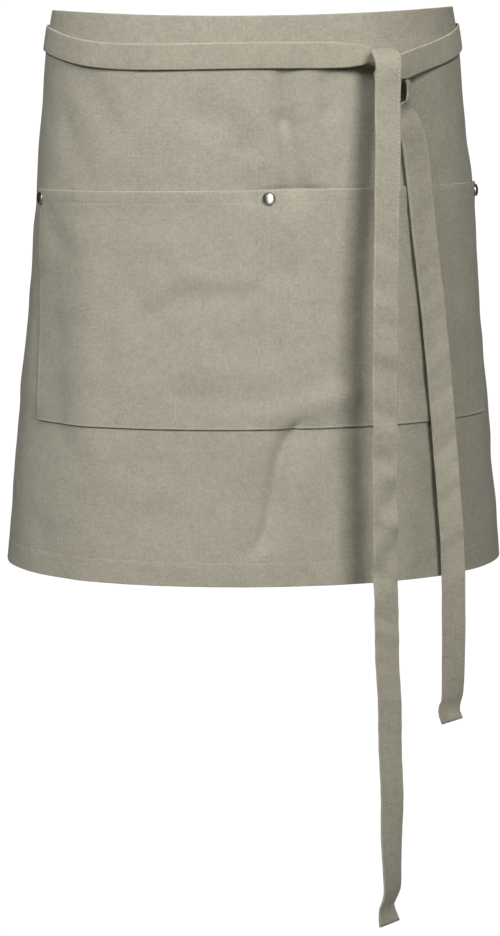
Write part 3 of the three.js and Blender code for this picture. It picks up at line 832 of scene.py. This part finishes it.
def pocket_wall():
    """Pocket as a closed wall over the panel, with rounded edges, drawn in along its seams, and a
    shallow furrow along the seam that parts it in two."""
    edge = POCKET_WIDTH / 2
    columns = grid_values(-edge, edge, POCKET_SPACING, (-POCKET_SIDE_SEAM, 0, POCKET_SIDE_SEAM))
    rows = grid_values(POCKET_DROP, POCKET_BOTTOM, POCKET_SPACING, (POCKET_HEM_SEAM, POCKET_FOOT_SEAM))
    across, drop = np.meshgrid(columns, rows)
    from_side, from_top = edge - np.abs(across), drop - POCKET_DROP
    from_hem, from_foot = drop - POCKET_HEM_SEAM, drop - POCKET_FOOT_SEAM
    from_edge = np.minimum(np.minimum(from_top, POCKET_BOTTOM - drop), from_side)
    below_rivet = np.clip((from_top - 2 * RIVET_INSET) / DIVIDER_START, 0, 1)
    seam = np.maximum(bell(from_hem, SEAM_WIDTH), bell(from_foot, SEAM_WIDTH))
    seam = np.maximum(seam, bell(from_side - SEAM_INSET, SEAM_WIDTH))
    seam = np.maximum(seam, below_rivet * bell(across, SEAM_WIDTH))
    thickness = CANVAS + POCKET_HEM_LAYER * within_hem(from_top, POCKET_HEM)
    fall = edge_round(from_edge, POCKET_EDGE_RADIUS)
    puckered = bell(from_hem, POCKET_PUCKER_REACH) + bell(from_foot, POCKET_PUCKER_REACH)
    pucker = POCKET_PUCKER * np.sin(across / POCKET_PUCKER_LENGTH) * puckered
    lift = pocket_lift(across, drop)
    outer = panel_face(across, drop, lift + pucker - SEAM_SINK * seam - fall)
    inner = panel_face(across, drop, lift - thickness + fall)
    wear_and_shading = POCKET_EDGE_WEAR * np.exp(-from_edge / POCKET_WEAR_REACH) + SEAM_WEAR * seam
    # Painted shade: the pocket is also darker towards the right-hand side
    wear_and_shading = wear_and_shading + painted_side_shade(across)
    weave = np.stack([across, drop + POCKET_WEAVE_SHIFT], -1)
    faces = wall_faces(len(rows), len(columns)).tolist()
    return np.stack([outer, inner]), faces, np.stack([weave, weave]), np.stack([wear_and_shading, wear_and_shading])


points, faces, weave, wear_and_shading = pocket_wall()
pocket = add_piece("front_pocket", points, faces, canvas, "canvas", weave, wear_and_shading)
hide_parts("pocket")


# Ties

STATION = "x y z across_x across_y across_z width cloth".split()


def width_direction(slant, turn):
    """Direction of a tie's width: level at slant 0 and upright at 90, swung about the upright."""
    slant, turn = np.radians(slant), np.radians(turn)
    return np.stack([np.cos(slant) * np.cos(turn), np.cos(slant) * np.sin(turn), np.sin(slant)], -1)


def stations(middle, direction, width, cloth):
    """Rows of a tie's route: middle, direction of its width, width and thickness."""
    count = len(middle)
    width, cloth = np.broadcast_to(width, count), np.broadcast_to(cloth, count)
    return np.column_stack([middle, direction, width, cloth])


def waist_stations(route, side):
    """Route round the waist: the section's point at each angle, moved out by the lift."""
    first, last = route["angle"][[0, -1]]
    degrees = np.linspace(first, last, round((last - first) / WAIST_STEP) + 1)
    angle = np.radians(side * degrees)
    drop = through(route, "angle", "drop", degrees)
    lift = through(route, "angle", "lift", degrees)
    up = unit(on_section(drop - PROBE, angle) - on_section(drop + PROBE, angle))
    aside = on_section(drop, angle + PROBE_ANGLE) - on_section(drop, angle - PROBE_ANGLE)
    out = unit(np.cross(aside, up))
    middle = on_section(drop, angle) + out * (lift + TIE_LIFT)[:, None]
    return stations(middle, up, TIE_WIDTH, TIE_CLOTH)


def knot_stations(rows):
    """Route through the knot, measured from the knot's point on the panel."""
    middle = KNOT + np.stack([rows["right"], -rows["out"], rows["up"]], -1)
    return stations(middle, width_direction(rows["slant"], rows["turn"]), rows["width"], rows["cloth"])


def fold_stations(rows, front):
    """Route over the knot's top: half a circle about a level line behind the hanging end."""
    angle = np.radians(rows["degrees"])
    y = front + LOOP_RADIUS * (1 + np.cos(angle))
    z = KNOT[2] + LOOP_LEVEL + LOOP_RADIUS * np.sin(angle)
    middle = np.stack([KNOT[0] + rows["right"], y, z], -1)
    level = np.full(len(angle), 180.0)
    return stations(middle, width_direction(level, 0 * level), rows["width"], TIE_CLOTH)


def end_stations(rows):
    """Route of a hanging end."""
    middle = np.stack([rows["x"], rows["y"], rows["z"]], -1)
    return stations(middle, width_direction(rows["slant"], rows["turn"]), rows["width"], TIE_CLOTH)


def follow(route, place):
    """Middle, across, out, width and thickness of a tie at places along it: each column of the route
    read through its rows, with the width turned square to the way the tie runs."""
    steps = np.linalg.norm(np.diff(route[:, :3], axis=0), axis=-1)
    rows = dict(zip(STATION, route.T), along=np.concatenate([[0], np.cumsum(steps)]))
    total = rows["along"][-1]

    def read(names, at):
        """Columns of the route at places along it."""
        return np.stack([through(rows, "along", name, at) for name in names], -1)

    ahead = read(STATION[:3], np.minimum(place + PROBE, total))
    tangent = unit(ahead - read(STATION[:3], np.maximum(place - PROBE, 0)))
    across = read(STATION[3:6], place)
    across = unit(across - tangent * (across * tangent).sum(-1, keepdims=True))
    size = read(STATION[6:], place)
    return read(STATION[:3], place), across, np.cross(tangent, across), size, tangent


def route_length(route):
    """Length of a route: the sum of the distances between its stations."""
    return np.linalg.norm(np.diff(route[:, :3], axis=0), axis=-1).sum()


def wave_height(waves, place, aside):
    """Sum of slanting waves along a tie, each swelling and fading between its start and stop."""
    place, aside = place[..., None], aside[..., None]
    part = np.clip((place - waves["start"]) / (waves["stop"] - waves["start"]), 0, 1)
    turns = (place + waves["slant"] * aside) / waves["wavelength"]
    crest = np.sin(2 * np.pi * turns + waves["phase"])
    return (waves["height"] * np.sin(np.pi * part) ** 0.5 * crest).sum(-1)


def tie_strip(route, waves, hang, end_shading):
    """Flat folded strip carried along a route: a thin loop with round edges, drawn in along the seam
    near one edge and moved by the tie's waves. Its edges are pale where it lies flat, wear with a
    painted highlight along the folded edge; the seam has painted shade; and the part that hangs free
    has painted light and shade of its own at its start, past its middle and at its end."""
    total = route_length(route)
    place = np.linspace(0, total, round(total / TIE_STEP) + 1)
    middle, across, out, size, _ = follow(route, place)
    turn = np.linspace(0, 2 * np.pi, 2 * TIE_SIDES, endpoint=False)
    aside = np.cos(turn)[None, :]
    width, cloth = size[:, :1], size[:, 1:]
    edge = np.clip((np.abs(aside) * width - width + cloth) / cloth, 0, 1)
    thick = np.sqrt(1 - edge**2) * np.where(np.sin(turn) > 1e-9, 1, -1)
    seam = bell(aside - TIE_SEAM, TIE_SEAM_WIDTH)
    from_end = (total - place)[:, None]
    hem = within_hem(from_end, TIE_HEM)
    seam = np.maximum(seam, bell(from_end - TIE_HEM + HEM_SEAM, SEAM_WIDTH))
    thick = thick * (1 + TIE_CROWN * (1 - aside**2) + TIE_HEM_FULLER * hem - TIE_SEAM_SINK * seam)
    height = wave_height(waves, place[:, None] + 0 * aside, aside * width / 2)
    points = (
        middle[:, None]
        + across[:, None] * (aside * width / 2)[..., None]
        + out[:, None] * (thick * cloth / 2 + height)[..., None]
    )
    rings = np.arange(points.shape[0] * points.shape[1]).reshape(points.shape[:2])
    beside = np.roll(rings, -1, axis=1)
    sides = np.stack([rings[:-1], rings[1:], beside[1:], beside[:-1]], -1).reshape(-1, 4)
    faces = sides.tolist() + [rings[0].tolist(), rings[-1][::-1].tolist()]
    weave = np.stack(np.broadcast_arrays(aside * width / 2, place[:, None] + 0 * aside), -1)
    rim = np.clip(1 - (1 - np.abs(aside)) * width / 2 / TIE_RIM, 0, 1)
    # Pale rims: wear, with a painted highlight along the folded edge
    rim = rim * np.where(aside > 0, TIE_FOLD_WEAR_AND_HIGHLIGHT, TIE_SEWN_WEAR)
    flat = np.clip(1 - TIE_FLAT_SLOPE * (1 - width / TIE_WIDTH), 0, 1)
    past_middle = hang + END_SHADING_MIDDLE * (total - hang)
    # Painted light and shade along the hanging end
    shade = np.interp(place, [hang - TIE_WIDTH, hang, past_middle, total], [0, *end_shading])[:, None]
    # Painted shade along the seam groove
    wear_and_shading = rim * flat + TIE_HEM_WEAR * hem - TIE_SEAM_PAINTED_SHADE * seam + shade
    return points, faces, weave, wear_and_shading


left_route = np.concatenate(
    [waist_stations(LEFT_TIE_WAIST, 1), knot_stations(LEFT_TIE_KNOT), end_stations(LEFT_TIE_END)]
)
right_route = np.concatenate(
    [
        waist_stations(RIGHT_TIE_WAIST, -1),
        knot_stations(RIGHT_TIE_KNOT),
        fold_stations(LOOP_FOLD, RIGHT_TIE_END["y"][0]),
        end_stations(RIGHT_TIE_END),
    ]
)
ties = {
    "left": (left_route, LEFT_TIE_WAVES, route_length(left_route[: -len(LEFT_TIE_END["x"])])),
    "right": (right_route, RIGHT_TIE_WAVES, route_length(right_route[: -len(RIGHT_TIE_END["x"])])),
}
for side, end_shading in (("left", LEFT_TIE_END_SHADING), ("right", RIGHT_TIE_END_SHADING)):
    points, faces, weave, wear_and_shading = tie_strip(*ties[side], end_shading)
    strap = add_piece(f"{side}_tie_strap", points, faces, tie_canvas, "tie_canvas", weave, wear_and_shading)
    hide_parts(f"{side}_tie")


# Rivets


def rivet_cap(across):
    """Cap turned about the cloth's normal: a straight rim, a small shoulder and a quarter-ellipse
    crown, with a burr and a post behind the panel."""
    drop = POCKET_DROP + RIVET_INSET
    axis = outward(panel_face, np.array(across, float), np.array(drop, float))
    middle = panel_face(np.array(across, float), np.array(drop, float))
    rise = np.linspace(0, np.pi / 2, CROWN_RINGS)
    shoulder = RIVET_RADIUS - RIVET_SHOULDER
    radius = np.concatenate([BURR["radius"], CAP_RIM["radius"], shoulder * np.cos(rise)])
    crown = RIVET_SEAT + RIVET_RIM + RIVET_CROWN * np.sin(rise)
    height = np.concatenate([BURR["height"], RIVET_SEAT + CAP_RIM["height"], crown])
    turn = np.linspace(0, 2 * np.pi, RIVET_SIDES, endpoint=False)
    side = unit(np.cross(axis, [0.0, 0.0, 1.0]))
    up = np.cross(side, axis)
    ring = np.cos(turn)[:, None] * side + np.sin(turn)[:, None] * up
    points = middle + radius[1:-1, None, None] * ring + height[1:-1, None, None] * axis
    ends = middle + height[[0, -1], None] * axis
    count = len(turn)
    rings = np.arange(points.shape[0] * count).reshape(-1, count)
    beside = np.roll(rings, -1, axis=1)
    sides = np.stack([rings[:-1], beside[:-1], beside[1:], rings[1:]], -1).reshape(-1, 4)
    below, above = rings.size, rings.size + 1
    foot = np.stack([np.full(count, below), beside[0], rings[0]], -1)
    top = np.stack([np.full(count, above), rings[-1], beside[-1]], -1)
    return np.concatenate([points.reshape(-1, 3), ends]), sides.tolist() + foot.tolist() + top.tolist()


rivet_reach = POCKET_WIDTH / 2 - RIVET_SIDE_INSET
for name, across in (("left", -rivet_reach), ("centre", 0.0), ("right", rivet_reach)):
    cap = add_piece(f"rivet_cap_{name}", *rivet_cap(across), gunmetal, "rivet_metal")
    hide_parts(f"rivet_{name}")


# Stitching


def stitch_grains(middle, along, out):
    """One closed grain for each stitch: five rings that swell and close along its length, arched so
    that its ends dip into the cloth."""
    part, swell = STITCH_RINGS["part"], STITCH_RINGS["swell"]
    turn = np.linspace(0, 2 * np.pi, STITCH_SIDES, endpoint=False)
    side = np.cross(along, out)
    run = part * STITCH_LENGTH / 2
    wide = swell[:, None] * np.cos(turn) * STITCH_WIDTH / 2
    arch = (STITCH_ARCH - STITCH_DIP * part**2)[:, None]
    high = swell[:, None] * np.sin(turn) * STITCH_HEIGHT / 2 + arch
    points = (
        middle[:, None, None]
        + along[:, None, None] * run[None, :, None, None]
        + side[:, None, None] * wide[None, ..., None]
        + out[:, None, None] * high[None, ..., None]
    )
    count = len(turn)
    rings = np.arange(len(part) * count).reshape(-1, count)
    beside = np.roll(rings, -1, axis=1)
    grain = np.stack([rings[:-1], rings[1:], beside[1:], beside[:-1]], -1).reshape(-1, 4)
    starts = np.arange(len(middle))[:, None, None] * rings.size
    sides = (grain + starts).reshape(-1, 4).tolist()
    caps = np.stack([rings[0], rings[-1][::-1]]) + starts
    return points.reshape(-1, 3), sides + caps.reshape(-1, count).tolist(), rings.size


def seam_run(surface, start, stop):
    """Stitch middles, directions and normals along a straight line on the flat cloth."""
    start, stop = np.array(start, float), np.array(stop, float)
    length = np.linalg.norm(stop - start)
    count = round(length / STITCH_PITCH)
    part = (np.arange(count) + 0.5) / count
    across, drop = (start + (stop - start) * part[:, None]).T
    step = (stop - start) / length * PROBE
    ahead = surface(across + step[0], drop + step[1])
    along = unit(ahead - surface(across - step[0], drop - step[1]))
    out = outward(surface, across, drop)
    return surface(across, drop) - STITCH_SUNK * out, along, out, 0 * across


def add_stitches(name, runs, slot):
    """One piece of stitching from several runs, each stitch with its own wear and painted shade."""
    middle, along, out, wear_and_shading = (np.concatenate(column) for column in zip(*runs))
    points, faces, corners = stitch_grains(middle, along, out)
    return add_piece(name, points, faces, thread, slot, wear_and_shading=np.repeat(wear_and_shading, corners))


def tie_run(route, waves, hang):
    """Stitches along the seam near one edge of a tie and across its hem, on both faces: sunk in
    the cloth up to the place where it hangs free, pale from there and darker towards its end, the
    darkening being painted shade of the stitch holes."""
    total = route_length(route)
    along_seam = np.arange(TIE_RUN_INSET, total - TIE_RUN_INSET, STITCH_PITCH)
    across_hem = np.arange(-TIE_HEM_REACH, TIE_HEM_REACH + 1, TIE_HEM_PITCH)
    place = np.concatenate([along_seam, np.full(len(across_hem), total - TIE_HEM + HEM_SEAM)])
    middle, across, out, size, tangent = follow(route, place)
    aside = TIE_SEAM * size[:, 0] / 2
    aside[len(along_seam) :] = across_hem
    way = tangent.copy()
    way[len(along_seam) :] = across[len(along_seam) :]
    lift = wave_height(waves, place, aside)
    seam = middle + across * aside[:, None]
    free = (place > hang).astype(float)
    half = size[:, 1] / 2 * (TIE_STITCH_LEVEL + TIE_STITCH_RISE * free)
    # Pale stitches, darkening towards the end as painted shade
    stitch_wear_and_shade = free * (1 - TIE_STITCH_SHADE_FADE * (place - hang) / (total - hang))
    return [(seam + out * (lift + face * half)[:, None], way, face * out, stitch_wear_and_shade) for face in (1, -1)]


left, right, foot = RUN_INSET - PANEL_WIDTH / 2, PANEL_WIDTH / 2 - RUN_INSET, PANEL_LENGTH - RUN_INSET
panel_stitches = add_stitches(
    "panel_hem_stitches",
    [
        seam_run(panel_face, (left, WAIST_SEAM), (right, WAIST_SEAM)),
        seam_run(panel_face, (left, BOTTOM_SEAM), (right, BOTTOM_SEAM)),
        seam_run(panel_face, (-SIDE_SEAM, RUN_INSET), (-SIDE_SEAM, foot)),
        seam_run(panel_face, (SIDE_SEAM, RUN_INSET), (SIDE_SEAM, foot)),
    ],
    "canvas",
)
left, right, top = -POCKET_SIDE_SEAM, POCKET_SIDE_SEAM, POCKET_DROP + SEAM_INSET
pocket_stitches = add_stitches(
    "pocket_stitches",
    [
        seam_run(pocket_face, (left, POCKET_HEM_SEAM), (right, POCKET_HEM_SEAM)),
        seam_run(pocket_face, (left, top), (left, POCKET_FOOT_SEAM)),
        seam_run(pocket_face, (right, top), (right, POCKET_FOOT_SEAM)),
        seam_run(pocket_face, (left, POCKET_FOOT_SEAM), (right, POCKET_FOOT_SEAM)),
        seam_run(pocket_face, (0, POCKET_HEM_SEAM + DIVIDER_START), (0, POCKET_FOOT_SEAM)),
    ],
    "canvas",
)
tie_stitches = {
    side: add_stitches(f"{side}_tie_stitches", tie_run(*tie), "tie_canvas") for side, tie in ties.items()
}


# Camera, floor and light, in metres and degrees

CAMERA_PLACE = (-0.0020, -1.598, -0.0893)
CAMERA_PITCH = 9.56
CAMERA_LENS = 72.615
CAMERA_SENSOR = 36
CAMERA_CLIP = 0.05
FLOOR_RADIUS = 0.6
FLOOR_LEVEL = -1.06
FLOOR_SIDES = 96
LIGHT_TARGET = (0, -0.1, -0.2)
KEY_TARGET = (-0.1, -0.1, -0.05)
KEY_SPREAD = 60
SURROUND_STRENGTH = 0.041


def aim(place, target):
    """Turn that points an object's -Z from its place to a target, with its Y upwards."""
    return (Vector(target) - Vector(place)).to_track_quat("-Z", "Y").to_euler()


def add_light(name, azimuth, elevation, distance, width, height, power, colour=(1, 1, 1)):
    """Soft box at an azimuth to the right of the front and an elevation, turned to the apron."""
    azimuth, elevation = np.radians(azimuth), np.radians(elevation)
    level = distance * np.cos(elevation)
    way = np.array([np.sin(azimuth) * level, -np.cos(azimuth) * level, distance * np.sin(elevation)])
    data = bpy.data.lights.new(name, "AREA")
    data.shape = "RECTANGLE"
    data.size, data.size_y, data.energy, data.color = width, height, power, colour
    light = add_object(name, data)
    light.location = np.array(LIGHT_TARGET) + way
    light.rotation_euler = aim(light.location, LIGHT_TARGET)
    return light


camera_data = bpy.data.cameras.new("camera")
camera_data.lens = CAMERA_LENS
camera_data.sensor_width = CAMERA_SENSOR
camera_data.clip_start = CAMERA_CLIP
camera = add_object("camera", camera_data)
camera.location = CAMERA_PLACE
camera.rotation_euler = (np.radians(90 - CAMERA_PITCH), 0, 0)
bpy.context.scene.camera = camera

floor_material, floor_shader, _ = new_finish("pale_floor", Roughness=0.9)
floor_shader.inputs["Base Color"].default_value = (0.8, 0.8, 0.8, 1)
floor_mesh = bpy.data.meshes.new("floor")
turn = np.linspace(0, 2 * np.pi, FLOOR_SIDES, endpoint=False)
level = np.full(FLOOR_SIDES, FLOOR_LEVEL)
rim = np.stack([FLOOR_RADIUS * np.cos(turn), FLOOR_RADIUS * np.sin(turn), level], -1)
floor_mesh.from_pydata(rim.tolist(), [], [list(range(FLOOR_SIDES))])
floor_mesh.materials.append(floor_material)
floor = add_object("floor", floor_mesh)

# Two soft boxes light the cloth, the right one with a grid that keeps its light towards the upper
# left; a third lights the back, and a white card, seen only in polished metal, stands at the front
key_box = add_light(
    "right_soft_box",
    azimuth=22.5, elevation=34, distance=2.8, width=0.74, height=1.4, power=8.2, colour=(1, 1, 0.975),
)
key_box.rotation_euler = aim(key_box.location, KEY_TARGET)
key_box.data.spread = np.radians(KEY_SPREAD)
left_box = add_light(
    "left_soft_box",
    azimuth=-33, elevation=34, distance=2.8, width=1.15, height=1.05, power=49.5, colour=(1, 1, 1.02),
)
left_box.visible_glossy = False
rear_box = add_light(
    "rear_soft_box", azimuth=180, elevation=30, distance=2.8, width=1.8, height=1.4, power=55
)
rear_box.visible_glossy = False
card = add_light("white_card", azimuth=18.5, elevation=2, distance=2.3, width=1.65, height=3.0, power=28)
card.visible_diffuse = False

# White surround, bright to the camera alone
world = bpy.data.worlds.new("studio")
bpy.context.scene.world = world
world.use_nodes = True
seen = Shade(world.node_tree).take("ShaderNodeLightPath", "Is Camera Ray")
background = world.node_tree.nodes["Background"]
background.inputs["Color"].default_value = (1, 1, 1, 1)
(SURROUND_STRENGTH + seen).feed(background.inputs["Strength"])

bpy.context.scene.view_settings.view_transform = "Standard"
bpy.context.scene.view_settings.look = "None"
